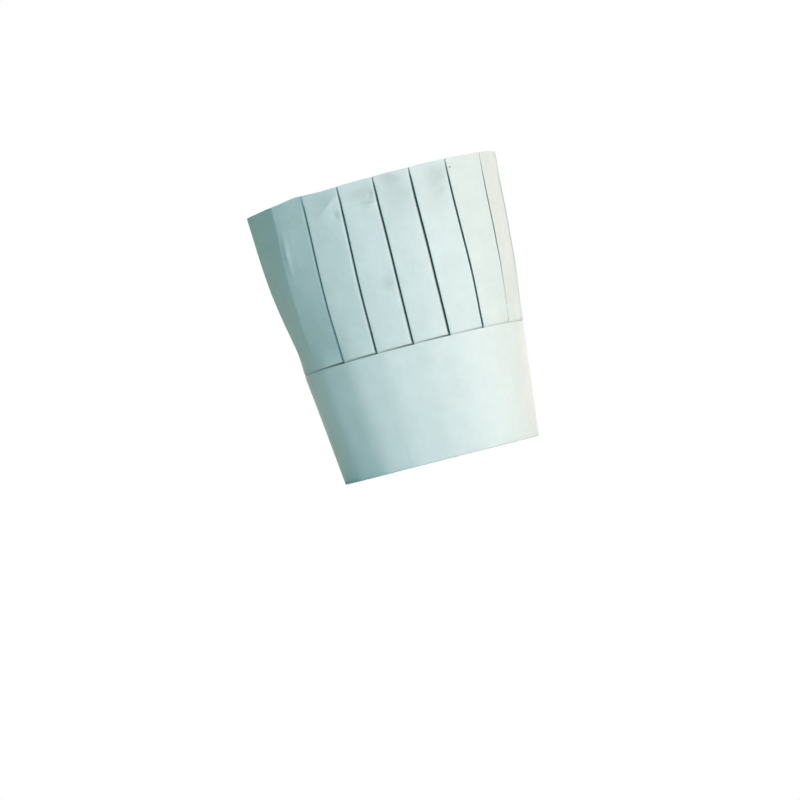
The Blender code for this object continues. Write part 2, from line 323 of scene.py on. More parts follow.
def band_flats(z, shares):
    """Depths of the band's soft bends, which lie where the pleats' hidden layers end behind it."""
    f = form()
    loop = girth(z)
    past_fold = signed(fold_share() - shares) * loop
    outside = np.maximum(STILL[0] - past_fold, past_fold - STILL[1])
    bends = (fold_lines(0.0) + f.underlay) * loop / girth(f.band_height)
    return BAND_FLAT * smooth(outside, 0.0, STILL_EASE) * flats(z, bends, shares * loop, soft=True)


def seam_dip(points):
    """Lower points near the seam: the straight strip's edge curves down to front and back."""
    f = form()
    low = hump(points[:, 2], *(f.band_height + step for step in SEAM_PULL))
    points[:, 2] -= low * (SEAM_LOW + SEAM_DIP * (2 * points[:, 0] / f.seam_length) ** 2)


# Meshes

SHARP = radians(40)        # edges of a sheet beyond this angle stay hard


def flat_grid(rows, columns):
    """Flat grid of a sheet's points."""
    bm = bmesh.new()
    bmesh.ops.create_grid(bm, x_segments=columns - 1, y_segments=rows - 1, size=0.5)
    return bm


def grid_spots(bm, rows, columns):
    """Points of a flat grid, each with its row and its column."""
    for vert in bm.verts:
        yield vert, round((vert.co.y + 0.5) * (rows - 1)), round((vert.co.x + 0.5) * (columns - 1))


def new_items(made, kind):
    """Elements of one kind in the result of a bmesh operator."""
    return [item for item in made["geom"] if isinstance(item, kind)]


def folded_sheet(places, marks=None):
    """Flat grid of paper, each point then carried to its place, rows by columns.

    marks names values kept with every point for the material to read."""
    size = places.shape[:2]
    bm = flat_grid(*size)
    layers = {name: bm.verts.layers.float.new(name) for name in marks or {}}
    for vert, row, column in grid_spots(bm, *size):
        vert.co = places[row, column]
        for name, layer in layers.items():
            vert[layer] = marks[name][row, column]
    bmesh.ops.remove_doubles(bm, verts=bm.verts, dist=1e-6)
    return bm


def add_piece(name, bm, *materials):
    """Object of a finished bmesh, at the origin."""
    mesh = bpy.data.meshes.new(name)
    bm.to_mesh(mesh)
    bm.free()
    piece = bpy.data.objects.new(name, mesh)
    bpy.context.scene.collection.objects.link(piece)
    for material in materials:
        mesh.materials.append(material)
    return piece


def bake(piece):
    """Apply the piece's modifiers, and shade it smooth apart from its hard edges."""
    graph = bpy.context.evaluated_depsgraph_get()
    rough = piece.data
    piece.data = bpy.data.meshes.new_from_object(piece.evaluated_get(graph))
    piece.data.name = piece.name
    piece.modifiers.clear()
    bpy.data.meshes.remove(rough)
    piece.data.shade_smooth()
    piece.data.set_sharp_from_angle(angle=SHARP)
    return piece


def thicken(piece, thickness, inner_material=False):
    """Give a sheet its thickness behind the modelled face."""
    shell = piece.modifiers.new("thickness", "SOLIDIFY")
    shell.thickness = thickness
    shell.offset = -1.0
    shell.use_even_offset = True
    if inner_material:
        shell.material_offset = 1
    bake(piece)


def seat(piece, body, node):
    """Tie a piece to its body and hide the node that it stands for."""
    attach(piece, body)
    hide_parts(node)


# Materials

def add_node(tree, kind, inputs=None, **settings):
    """Add a node with its settings; an input takes a value or another node's output."""
    made = tree.nodes.new(kind)
    for name, value in settings.items():
        setattr(made, name, value)
    for name, value in (inputs or {}).items():
        if isinstance(value, bpy.types.NodeSocket):
            tree.links.new(value, made.inputs[name])
        else:
            made.inputs[name].default_value = value
    return made


PALE, DULL = 1.04, 0.84    # tone of the palest and the dullest cloud, as shares of the paper's colour
TOOTH = 0.08               # height of the fibres, as a share of their size


def paper_material(name, tone, ior, roughness, cloud, fibre, cockle, depth):
    """Sheet of paper: cloudy formation in its colour, fibres and cockling in its relief.

    Sizes are in metres: cloud for the patches of tone, fibre for the tooth, cockle for the soft
    waves; depth is the height of those waves. Real fibres are too fine to show, so the tooth is
    drawn coarser."""
    material = bpy.data.materials.new(name)
    material.use_nodes = True
    tree = material.node_tree
    shader = tree.nodes["Principled BSDF"].inputs
    shader["IOR"].default_value = ior
    shader["Roughness"].default_value = roughness
    place = add_node(tree, "ShaderNodeTexCoord").outputs["Object"]

    clouds = add_node(
        tree, "ShaderNodeTexNoise", {"Vector": place, "Scale": 1 / cloud, "Detail": 4.0, "Roughness": 0.72}
    )
    pale = tuple(min(1.0, c * PALE) for c in tone)
    dull = tuple(c * DULL for c in tone)
    shade = add_node(
        tree, "ShaderNodeMix", {"Factor": clouds.outputs["Fac"], "A": (*pale, 1.0), "B": (*dull, 1.0)},
        data_type="RGBA",
    )
    tree.links.new(shade.outputs["Result"], shader["Base Color"])

    waves = add_node(tree, "ShaderNodeTexNoise", {"Vector": place, "Scale": 1 / cockle, "Detail": 3.0})
    soft = add_node(
        tree, "ShaderNodeBump", {"Height": waves.outputs["Fac"], "Strength": 1.0, "Distance": depth}
    )
    tooth = add_node(
        tree, "ShaderNodeTexNoise", {"Vector": place, "Scale": 1 / fibre, "Detail": 2.0, "Distortion": 0.6}
    )
    fine = add_node(
        tree, "ShaderNodeBump",
        {"Height": tooth.outputs["Fac"], "Strength": 0.35, "Distance": fibre * TOOTH,
         "Normal": soft.outputs["Normal"]},
    )
    tree.links.new(fine.outputs["Normal"], shader["Normal"])
    return material


SHADE_AND_FLECK_GREY = "#7C837C"      # painted shade between two folds, in the seam's crevice and in dents, and the fleck's own tone
FLECK = 1.2 * MM           # radius of the one dark fleck in the crown's paper
FLECK_CORE = 0.6 * FLECK   # radius within which it is darkest
FLECK_TONE = 0.9           # how far it goes to that grey
FLECK_PLEAT = 2
FLECK_PAST_FOLD = 3.8 * MM
FLECK_BELOW_RIM = 8.5 * MM


def fleck_place():
    """Place of the fleck on the crown."""
    height = crown_height() - FLECK_BELOW_RIM
    z = form().band_height + height
    arc = fold_lines(height)[FLECK_PLEAT] + FLECK_PAST_FOLD
    return Vector(ring(z, [arc / girth(z)], [0.0])[0])


def pleated_paper(name, shaded):
    """White machine-finished paper, knife pleated by machine: matt, faintly cloudy, with one dark
    fleck; when shaded, painted shade greys it between two folds, in the seam's crevice and in the
    dents that handling has made."""
    material = paper_material(
        name, colours().crown, ior=1.5, roughness=0.68, cloud=28 * MM, fibre=0.9 * MM, cockle=16 * MM,
        depth=0.7 * MM,
    )
    if shaded:
        tree = material.node_tree
        base = tree.nodes["Principled BSDF"].inputs["Base Color"]
        place = add_node(tree, "ShaderNodeTexCoord").outputs["Object"]
        # painted shade: the fold mark mixes the paper towards grey where folds, slits, the seam's crevice and
        # dents lie in shade; the fleck is the paper's own mark
        lost = add_node(tree, "ShaderNodeAttribute", attribute_name="fold").outputs["Fac"]
        away = add_node(tree, "ShaderNodeVectorMath", {0: place, 1: fleck_place()}, operation="DISTANCE")
        fleck = add_node(
            tree, "ShaderNodeMapRange",
            {"Value": away.outputs["Value"], "From Min": FLECK_CORE, "From Max": FLECK,
             "To Min": FLECK_TONE, "To Max": 0.0},
        )
        lost = add_node(tree, "ShaderNodeMath", {0: lost, 1: fleck.outputs["Result"]}, operation="MAXIMUM")
        tone = add_node(
            tree, "ShaderNodeMix",
            {"Factor": lost.outputs[0], "A": base.links[0].from_socket, "B": (*linear(SHADE_AND_FLECK_GREY), 1.0)},
            data_type="RGBA",
        )
        tree.links.new(tone.outputs["Result"], base)
    return material


def calendered_paper():
    """White paper pressed smooth between rollers: the faint satin of the headband and tab."""
    return paper_material(
        "calendered_white_paper", colours().band, ior=1.5, roughness=0.58, cloud=34 * MM, fibre=0.8 * MM,
        cockle=22 * MM, depth=0.5 * MM,
    )


def uncoated_paper():
    """Uncoated white paper of the facing: greyer, with a tooth that shows."""
    return paper_material(
        "uncoated_facing_paper", colours().facing, ior=1.48, roughness=0.85, cloud=12 * MM, fibre=1.2 * MM,
        cockle=20 * MM, depth=0.2 * MM,
    )


def tissue_paper():
    """Thin wet-laid tissue: small pale and dull patches, with a coarse tooth."""
    return paper_material(
        "wet_laid_tissue", colours().tissue, ior=1.46, roughness=0.9, cloud=5 * MM, fibre=1.4 * MM,
        cockle=12 * MM, depth=0.35 * MM,
    )


def creped_wadding():
    """Creped cellulose wadding: soft, without gloss, warm white."""
    material = paper_material(
        "creped_cellulose_wadding", colours().crepe, ior=1.45, roughness=0.96, cloud=4 * MM, fibre=0.7 * MM,
        cockle=3 * MM, depth=0.15 * MM,
    )
    shader = material.node_tree.nodes["Principled BSDF"].inputs
    shader["Sheen Weight"].default_value = 0.25
    shader["Sheen Roughness"].default_value = 0.6
    return material


def nylon(name, roughness):
    """White nylon of the closure patches: hooks moulded with a faint gloss, or dull knitted loops."""
    return paper_material(
        name, colours().nylon, ior=1.53, roughness=roughness, cloud=2 * MM, fibre=0.6 * MM,
        cockle=2.5 * MM, depth=0.05 * MM,
    )


# Headband

HEM_HEIGHT = 14 * MM
HEM_DEPTH = 1.75 * MM
HEM_STEPS = 8
TUCK_DEPTH = 0.75 * MM
TUCK_LENGTH = 40 * MM
TUCK_STEPS = 8
TUCK_JOG = 7 * MM          # length over which the end steps in behind the start
TUCK_FOOT = 1.0 * MM
TUCK_TOP = 100 * MM
END_NEAR = 12 * MM         # how near the strip's end an edge that is tucked in lies: in plan,
END_ALONG = 0.6 * MM       # along the girth
END_DEEP = 0.4 * MM        # and from the tuck's own depth
BAND_COLUMNS = 340
BAND_WAVE = 0.3 * MM       # height of the soft waves in the outer ply
BAND_HOLD = 20 * MM        # length at the join over which they die away
JOIN_GAP = 0.3 * MM
JOIN_ROOM = 0.35 * MM      # how much deeper the crown's lap lies behind the stepped-in end
JOIN_REACH = (14 * MM, 7 * MM)       # distances from the join at which that begins and is full
JOIN_LOW = (1 * MM, -2 * MM)         # heights from the band's edge at which it begins and is full
EDGE_UNEVEN = 0.25 * MM    # of the band's upper edge
PRESS_MARK = (-33 * MM, 9 * MM, 1.6 * MM, 6 * MM, 0.35 * MM)   # along, up, half width, half height, depth


def join_share():
    """Share of the girth at the band's join, just before the tab's fold line."""
    return fold_share() - JOIN_GAP / girth(JOINT["pos_m"][2])


def band_section(outside):
    """Depths and heights of the folded strip's section, from the hem's edge to the top."""
    radius = (HEM_DEPTH - outside) / 2
    hem = [(HEM_DEPTH, z) for z in np.linspace(HEM_HEIGHT, radius, 6)]
    bend = [
        (outside + radius * (1 + cos(a)), radius * (1 - sin(a))) for a in steps(HEM_STEPS, pi)[:-1]
    ]
    top = form().band_height
    ply = [(outside, z) for z in np.linspace(radius, top - 3 * MM, 24)]
    return hem + bend + ply + [(outside, top - 1 * MM), (outside, top)]


def band_waves(points, shares):
    """Depths of the outer ply's soft waves and of one press mark."""
    soft = 0.7 * ripple(points, 34 * MM, 160 * MM, 1) + 0.5 * ripple(points, 18 * MM, 60 * MM, 2)
    where, up, half_width, half_height, depth = PRESS_MARK
    mark = np.exp(-((signed(shares) * girth(0.0) - where) / half_width) ** 2)
    mark = mark * np.exp(-((float(points[0, 2]) - up) / half_height) ** 2)
    return BAND_WAVE * soft + depth * mark


def headband_sheet():
    """Strip folded up at the foot, its end stepping in behind its start."""
    middle = girth(form().band_height / 2)
    start = join_share()
    shares = np.linspace(start, start + 1.0 - JOIN_GAP / middle, BAND_COLUMNS)
    before_end = (shares[-1] - shares) * middle
    outside = TUCK_DEPTH * (1.0 - smooth(before_end, 0.0, TUCK_JOG))
    sections = np.array([band_section(depth) for depth in outside])
    places = np.empty((sections.shape[1], BAND_COLUMNS, 3))
    for row in range(sections.shape[1]):
        depths, heights = sections[:, row, 0], sections[:, row, 1]
        level = float(heights.mean())
        points = ring(level, shares, depths)
        hold = 1.0 - smooth(np.minimum(before_end, (shares - start) * middle), BAND_HOLD, 0.0)
        depths = depths + hold * band_waves(points, shares) + band_flats(level, shares)
        places[row] = ring(level, shares, depths)
        places[row, :, 2] = heights
        seam_dip(places[row])
    edge = places[-1]
    edge[:, 2] += EDGE_UNEVEN * ripple(edge, 40 * MM, 1.0, 3)
    bm = folded_sheet(places)
    tuck_in(bm, Vector(places[-1, -1]), shares[-1])
    return bm


def tuck_in(bm, corner, share):
    """Extrude the strip's end on behind its start, as a plain flap."""
    end = [
        edge for edge in bm.edges
        if edge.is_boundary and all(
            (vert.co.xy - corner.xy).length < END_NEAR
            and TUCK_FOOT < vert.co.z < TUCK_TOP
            and abs(share_of(vert.co) - share % 1.0) * girth(vert.co.z) < END_ALONG
            for vert in edge.verts
        )
    ]
    end = [edge for edge in end if min(
        (Vector(ring(vert.co.z, [share], [TUCK_DEPTH])[0]) - vert.co).length for vert in edge.verts
    ) < END_DEEP]
    for step in steps(TUCK_STEPS, TUCK_LENGTH):
        grown = bmesh.ops.extrude_edge_only(bm, edges=end)
        end = new_items(grown, bmesh.types.BMEdge)
        for vert in new_items(grown, bmesh.types.BMVert):
            onward = share + step / girth(vert.co.z)
            vert.co = ring(vert.co.z, [onward], [TUCK_DEPTH])[0]


class TOQUE_OT_headband(bpy.types.Operator):
    """Fold the headband and tuck its end in"""

    bl_idname = "toque.headband"
    bl_label = "Headband"

    def execute(self, context):
        f = form()
        band = add_piece("folded_headband", headband_sheet(), calendered_paper())
        thicken(band, f.paper)
        seat(band, "hat", "headband")
        girth(f.band_height / 2) + TUCK_LENGTH
        return {"FINISHED"}


# Pleated crown

LAP = 13 * MM              # glued depth inside the band
LAP_FLAT = 1.5 * MM        # depth inside the band from which the pleats are pressed flat
NOSE_STEPS, PANEL_STEPS, TURN_STEPS, UNDER_STEPS, BEND_STEPS, BACK_STEPS = 6, 20, 7, 2, 4, 2
TURN_RUN = 1.8 * MM        # length over which a panel's end curves in towards the slit
TURN_PAST = 1.5 * MM       # how far under the next fold that curve ends
TIGHT_FRONT = (1.2, 3.0)   # pleats forward of a side's middle: open up to the first, closed past the second
TIGHT_BACK = (2.2, 3.0)    # the same towards the back
TIGHT = 0.26               # most of the slit that a closed pleat keeps
TIGHT_FROM = 12 * MM       # height above the band from which it keeps some
TIGHT_FULL = 0.6           # share of the crown's height where it keeps most
TIGHT_LESS = 0.75          # and from which it keeps less again
TIGHT_LOSS = 0.8           # share of it lost so at the rim
SHUT = (3.2, 4.0)          # fold numbers over which it loses more of that
SHUT_LOSS = 0.55
LAP_OPEN = 0.6             # share of the slit that it keeps inside the band
PANEL_DROP = 0.9 * MM      # how far a panel's end lies behind its proud fold
SLIP_UNDER = 0.12 * MM     # what a closed pleat's panel lacks, at its end, of the next fold's thickness
PANEL_BOW = 0.3 * MM
FOLD_THICK = 0.7 * MM      # of a closed fold in the band
FOLD_OPEN = 0.2 * MM       # what it gains above the band
FOLD_ROLL = 0.6 * MM       # and where it rolls out over the band's edge
ROLL_OUT = (-2 * MM, -0.4 * MM, 1.6 * MM, 5 * MM)    # heights of that roll: begins, full, full, ends
OPENS = (-0.5 * MM, 5 * MM)          # heights over which the folds open out above the band
FOLD_GAPE = 0.35 * MM      # what an open one adds
HIDDEN_GAP = 0.6 * MM      # between a fold and the layer behind it
HIDDEN_ROOM = 2.3 * MM     # what that gains above the band
PRESSED = (                # and loses again below the rim: share, from how far below and to how far
    (0.4, 30 * MM, 12 * MM), (0.5, 9 * MM, 0.0),
)
SLIT_LOSS = 0.6            # share of the slit lost towards the rim
SLIT_CLOSES = (16 * MM, 1 * MM)      # how far below the rim that begins and ends
NOSE_SHADE = 0.3           # painted loss of light where an open fold turns under
SLIT_SHADE = (0.3 * MM, 1.8 * MM)    # depths in the slit over which the painted shade comes in
RIM_LIGHT = 0.65           # share of the hidden layers' painted darkness taken off at the rim
RIM_LIGHT_REACH = 9 * MM   # how far down the crown that lightening reaches
SWELL_POWER = 0.75         # below 1 puts the fullest place of the crown's swell under mid height
PANEL_FLAT = 0.95          # share of the way to flat between two folds
FLAT_FROM = (3 * MM, 28 * MM)        # heights over which the panels turn flat
CREVICE = 0.9 * MM         # how much deeper the seam is at a panel's end than at its start
CREVICE_AT = (-0.5 * MM, 0.2 * MM, 0.9 * MM, 2 * MM)           # heights: begins, full, full, ends
CREVICE_SHADE = (0.6 * MM, 2.4 * MM)           # heights over which the painted shade of its crevice ends
RIM_UNEVEN = 0.45 * MM
RIM_DIP = 0.35 * MM        # how much lower the rim is at a fold than between two
RIM_DIP_REACH = 5 * MM
RIM_SETTLE = 0.5 * MM      # how far the whole rim has settled
RIM_SWELL = (-79 * MM, 15 * MM, 1.9 * MM)      # one high stretch: along the girth, half length, rise
RIM_REACH = 25 * MM        # how far down the crown all that is felt
RIM_TILT = 2.3 * MM        # how much higher the rim is at the front than in the middle
BACK_WAIST = 2.0 * MM      # how far the back is drawn in above the band
WAIST_POWER = 0.7          # below 1 puts that waist lower
BACK_FLARE = 3.0 * MM      # how far it stands out at the rim
BACK_REACH = (0.05, 0.17)  # shares of the girth off its middle: full within the first, none past the second
CROWN_WAVE = 0.4 * MM      # height of the soft waves in the crown
WAVE_FROM = (2 * MM, 30 * MM)        # heights over which they begin
SEAM_ROLL = (              # height above the band and depth: out of the band and over its edge
    (-LAP, 0.9 * MM), (-2.0 * MM, 0.9 * MM), (-0.2 * MM, 1.4 * MM), (0.8 * MM, 1.1 * MM),
    (1.5 * MM, 0.15 * MM), (2.8 * MM, -0.3 * MM), (9.0 * MM, -0.45 * MM),
)
CREASES = (                # mm along the girth, below the rim, half length and width, depth; slope in degrees
    (-47, 15, 12, 2.5, -1.5, 34), (-55, 10, 11, 8, 0.7, 30), (-43, 28, 3, 3, 1.0, 0),
    (-14, 14, 14, 8, 1.1, 0), (-12, 24, 8, 1.9, 1.2, -5), (-9, 28, 8, 2.2, -1.4, 8),
    (-6, 17, 3, 3, 1.1, 0), (19, 22, 15, 24, 1.0, 0), (14, 6, 9, 4, 0.8, -12),
    (63, 14, 9, 9, 1.1, 0), (59, 34, 13, 24, 0.6, 0), (62, 30, 7, 2.0, 0.9, 20),
    (-104, 50, 2.5, 16, -1.1, 0), (-10, 104, 7, 6, 1.0, 20),
)
DENT_PAINTED_SHADE = 0.2          # painted shade in a dent one millimetre deep, as a share of tone lost


def crown_heights():
    """Levels of the crown above the band: close at the seam and the rim, even between."""
    rim = crown_height()
    lap = (-LAP, -8 * MM, -4 * MM, -1.5 * MM, -0.7 * MM)
    seam = np.array((*lap, *np.arange(0.0, 2.9, 0.4) * MM, 3.5 * MM, 5 * MM, 7.5 * MM))
    wall = np.linspace(11 * MM, rim - 36 * MM, 20)
    upper = np.linspace(rim - 34 * MM, rim - 8 * MM, 14)
    edge = rim - np.array((6.0, 4.0, 2.5, 1.2, 0.5, 0.0)) * MM
    return np.concatenate((seam, wall, upper, edge))


def crown_layers(height):
    """Depth of the panel, thickness of a closed fold, what an open one adds to it, depth of the
    hidden layer and the slit's width."""
    rim = crown_height()
    outer = float(np.interp(height, *zip(*SEAM_ROLL)))
    opened = float(smooth(height, *OPENS))
    pressed = sum(share * smooth(height, rim - low, rim - high) for share, low, high in PRESSED)
    rolled = float(hump(height, *ROLL_OUT))
    folded = FOLD_THICK + FOLD_OPEN * opened + FOLD_ROLL * rolled
    gaping = FOLD_GAPE * opened
    hidden = outer + folded + gaping + HIDDEN_GAP + HIDDEN_ROOM * opened * (1.0 - float(pressed))
    begins, ends = (rim - below for below in SLIT_CLOSES)
    slit = form().slit * (1.0 - SLIT_LOSS * float(smooth(height, begins, ends)))
    t = max(0.0, height) / rim
    bulge = form().swell * sin(pi * t ** SWELL_POWER) ** 2
    return outer - bulge, folded, gaping, hidden - bulge, slit


def pleat_line(start, end, layers, gapes, drop, bow, dark):
    """One pleat of the folded sheet from its proud fold to the layer behind the next one.

    layers are its depths and slit, gapes how far the pleat before and the one after stand
    open, drop and bow the panel's shape, dark how much painted shade the hidden layers get.
    Returns places along the girth, depths, how far the seam pulls open there and painted shade."""
    outer, folded, gaping, hidden, slit = layers
    nose, next_nose = ((folded + gaping * gape) / 2 for gape in gapes)
    behind = outer + 2 * next_nose
    drop = gapes[1] * drop + (1.0 - gapes[1]) * (2 * next_nose - SLIP_UNDER)
    left = start + slit * gapes[0] / 2 + nose
    right = end - slit * gapes[1] / 2 - TURN_RUN * gapes[1]
    past = end + TURN_PAST
    bend = (hidden - behind) / 2
    under_end = end + form().underlay - bend
    next_left = end + slit * gapes[1] / 2 + next_nose

    a = np.linspace(0.0, pi, NOSE_STEPS)
    # painted shade on the inner side of an open fold's nose
    shaded = NOSE_SHADE * gapes[0] * smooth(a, pi / 3, 0.0)
    line = [(left - nose * np.sin(a), outer + nose * (1 + np.cos(a)), 0 * a, shaded)]

    p = steps(PANEL_STEPS)
    panel_depth = outer + drop * p ** 2 - bow * np.sin(pi * p)
    line.append((left + (right - left) * p, panel_depth, gapes[1] ** 2 * (0.2 + 0.8 * p), 0 * p))

    q = steps(TURN_STEPS)
    dip = smooth(q, 0.0, 1.0)
    turn_depth = (outer + drop) * (1 - dip) + hidden * dip
    # painted shade deepening into the slit
    lost = (0.1 + 0.9 * gapes[1]) * smooth(turn_depth - outer - drop, *SLIT_SHADE) * dark
    line.append((right + (past - right) * q, turn_depth, gapes[1] + 0 * q, lost))

    q = steps(UNDER_STEPS)
    line.append((past + (under_end - past) * q, hidden + 0 * q, gapes[1] + 0 * q, dark + 0 * q))

    a = steps(BEND_STEPS, pi)
    line.append((under_end + bend * np.sin(a), behind + bend * (1 + np.cos(a)), 0 * a, dark + 0 * a))

    q = steps(BACK_STEPS)[:-1]
    line.append((under_end + (next_left - under_end) * q, behind + 0 * q, 0 * q, dark + 0 * q))
    return [np.concatenate(parts) for parts in zip(*line)]


def openness(index, height):
    """How far a pleat gapes: fully along the sides, hardly where the hat turns at front and
    back, where it closes towards the seam and the rim."""
    per_half = form().pleats / 2
    forwards = (index + per_half / 2) % per_half - per_half / 2
    if (index + per_half / 2) % form().pleats > per_half:
        forwards = -forwards
    tight = float(smooth(abs(forwards), *(TIGHT_FRONT if forwards > 0 else TIGHT_BACK)))
    rim = crown_height()
    kept = TIGHT * smooth(height, TIGHT_FROM, TIGHT_FULL * rim)
    kept = kept * (1.0 - TIGHT_LOSS * smooth(height, TIGHT_LESS * rim, rim))
    kept = kept * (1.0 - SHUT_LOSS * smooth(abs(forwards), *SHUT))
    kept = kept + LAP_OPEN * smooth(height, 0.0, -LAP_FLAT)
    return 1.0 - tight * (1.0 - float(kept))


def back_flare(risen, shares):
    """Depths that draw the back in above the band and let it flare to the rim."""
    behind = 1.0 - smooth(np.abs(signed(shares - BACK)), *BACK_REACH)
    return behind * (BACK_WAIST * sin(2 * pi * risen ** WAIST_POWER) - BACK_FLARE * risen)


def crown_level(height):
    """Shares of the girth, depths and painted shade of the whole sheet at one level."""
    f = form()
    z = f.band_height + height
    layers = crown_layers(height)
    drop = PANEL_DROP * float(smooth(height, -LAP_FLAT, 0.0))
    bow = PANEL_BOW * float(smooth(height, -LAP_FLAT, LAP_FLAT))
    folds = fold_lines(height)
    rim = crown_height()
    # painted darkness of the hidden layers, less of it near the rim
    dark = 1.0 - RIM_LIGHT * float(smooth(height, rim - RIM_LIGHT_REACH, rim))
    line = []
    for index in range(f.pleats):
        ends = folds[index], folds[index + 1]
        gapes = openness(index, height), openness(index + 1, height)
        line.append(pleat_line(*ends, layers, gapes, drop, bow, dark))
    arcs, depths, pull, lost = (np.concatenate(parts) for parts in zip(*line))
    shares = arcs / girth(z)
    flat = smooth(height, *FLAT_FROM)
    depths = depths + PANEL_FLAT * flat * flats(z, folds, arcs)
    depths = depths + (1.0 - flat) * band_flats(z, shares)
    depths = depths + CREVICE * hump(height, *CREVICE_AT) * (pull - 0.5)
    depths = depths + back_flare(max(0.0, height) / rim, shares)
    past_join = np.abs(signed(shares - join_share())) * girth(z)
    room = JOIN_ROOM * smooth(past_join, *JOIN_REACH)
    depths = depths + room * smooth(height, *JOIN_LOW)
    # painted shade in the seam's crevice, darker towards a panel's end
    at_seam = (1.0 - smooth(height, *CREVICE_SHADE)) * pull
    return shares, depths, np.maximum(lost, at_seam)


def crease_depths(along, below_rim):
    """Depths of the handling creases at places along the girth and below the rim."""
    depths = np.zeros_like(along)
    for *sizes, slope in CREASES:
        where, down, half_length, half_width, depth = (size * MM for size in sizes)
        slope = radians(slope)
        right, up = along - where, down - below_rim
        run = (right * cos(slope) + up * sin(slope)) / half_length
        rise = (up * cos(slope) - right * sin(slope)) / half_width
        depths += depth * np.exp(-run ** 2 - rise ** 2)
    return depths


def tilt(points, risen=1.0):
    """Raise points towards the front and lower them towards the back, as the rim runs."""
    points[:, 2] += RIM_TILT * risen * points[:, 0] / (form().rim_length / 2)


def crown_sheet():
    """One sheet folded into knife pleats, rolled out over the band's edge."""
    f = form()
    heights = crown_heights()
    rim = heights[-1]
    where, half_length, rise = RIM_SWELL
    rows, marks = [], []
    for height in heights:
        z = f.band_height + height
        shares, depths, lost = crown_level(height)
        skin = ring(z, shares, 0.0)
        along = signed(shares) * girth(z)
        waving = smooth(height, *WAVE_FROM)
        uneven = 0.6 * ripple(skin, 30 * MM, 46 * MM, 4) + 0.4 * ripple(skin, 14 * MM, 20 * MM, 5)
        dents = crease_depths(along, rim - height)
        depths = depths + CROWN_WAVE * waving * uneven + dents
        points = ring(z, shares, depths)
        seam_dip(points)
        tilt(points, max(0.0, height) / rim)
        folds = fold_lines(height) / girth(z)
        off_fold = np.abs(signed(shares[:, None] - folds)).min(axis=1) * girth(z)
        dip = RIM_DIP * np.exp(-(off_fold / RIM_DIP_REACH) ** 2)
        lift = RIM_UNEVEN * ripple(skin, 26 * MM, 1.0, 6) - dip - RIM_SETTLE
        lift = lift + rise * np.exp(-((along - where) / half_length) ** 2)
        points[:, 2] += lift * smooth(height, rim - RIM_REACH, rim)
        rows.append(np.vstack((points, points[:1])))
        # painted shade in the handling dents, by their depth
        lost = np.maximum(lost, DENT_PAINTED_SHADE * np.clip(dents / MM, 0.0, 1.0))
        marks.append(np.append(lost, lost[0]))
    # the fold mark carries the painted shade to the material
    return folded_sheet(np.array(rows), {"fold": np.array(marks)})


class TOQUE_OT_crown(bpy.types.Operator):
    """Pleat the crown"""

    bl_idname = "toque.crown"
    bl_label = "Pleated crown"

    def execute(self, context):
        f = form()
        crown = add_piece(
            "knife_pleated_crown", crown_sheet(), pleated_paper("machine_pleated_paper", True),
            pleated_paper("pleated_paper_inside", False),
        )
        thicken(crown, f.paper, inner_material=True)
        seat(crown, "hat", "pleated_crown")
        middle = girth((f.band_height + f.hat_height) / 2)
        return {"FINISHED"}


# Flat top

TOP_RECESS = 2.5 * MM
TOP_FLANGE = 11 * MM
TOP_DEPTH = 3.7 * MM       # of the flange, inside the pleats
TOP_CORNER = 1.2 * MM
CORNER_STEPS = 4
TOP_SAG = 1.6 * MM
TOP_UNEVEN = 0.9 * MM
TOP_COLUMNS = 216
TOP_RINGS = 26
GATHER = 0.35 * MM         # height of the puckers round the edge
GATHERS = 54
GATHER_BUNCHES = 7         # times round that they crowd together
GATHER_CROWD = 1.5         # how far, in radians of their pitch
GATHER_IN = 0.3            # share of a pucker that shows on the flange
GATHER_FADE = (0.62, 0.95)           # shares of the way out over which the puckers appear
TOP_LEVEL = 0.93           # share of the way out from which the top sags in full
VENT_RING_LENGTH = 130 * MM


def top_sheet():
    """Disc of tissue turned down round its edge, puckered there and sagging a little."""
    f = form()
    level = f.hat_height - TOP_RECESS
    shares = np.linspace(0.0, 1.0, TOP_COLUMNS + 1)
    crowd = GATHER_CROWD * np.sin(2 * pi * GATHER_BUNCHES * shares)
    pucker = GATHER * np.cos(2 * pi * GATHERS * shares + crowd)
    rows = []
    flat = PANEL_FLAT * flats(level, fold_lines(level - f.band_height), shares * girth(level))
    depth = TOP_DEPTH + flat + back_flare(1.0, shares)
    inwards = GATHER_IN * np.abs(pucker)
    for drop in np.linspace(TOP_FLANGE, TOP_CORNER, 5):
        rows.append(ring(level - drop, shares, depth + inwards))
    for a in steps(CORNER_STEPS, pi / 2):
        inset = depth + TOP_CORNER * (1 - cos(a))
        edge = ring(level, shares, inset + inwards * cos(a))
        edge[:, 2] = level - TOP_CORNER * (1 - sin(a))
        rows.append(edge)
    edge = rows[-1].copy()
    for share in np.linspace(1.0, 0.0, TOP_RINGS + 1)[1:]:
        flat = edge * share
        flat[:, 2] = level
        lying = smooth(share, 1.0, TOP_LEVEL)
        fading = smooth(share, *GATHER_FADE)
        flat[:, 2] += lying * (pucker * fading - TOP_SAG * (1 - share ** 2))
        flat[:, 2] += TOP_UNEVEN * lying * (ripple(flat, 38 * MM, 1.0, 7) - 0.4)
        rows.append(flat)
    rows[-1][:] = rows[-1].mean(axis=0)
    for row in rows:
        tilt(row)
    return folded_sheet(np.array(rows))


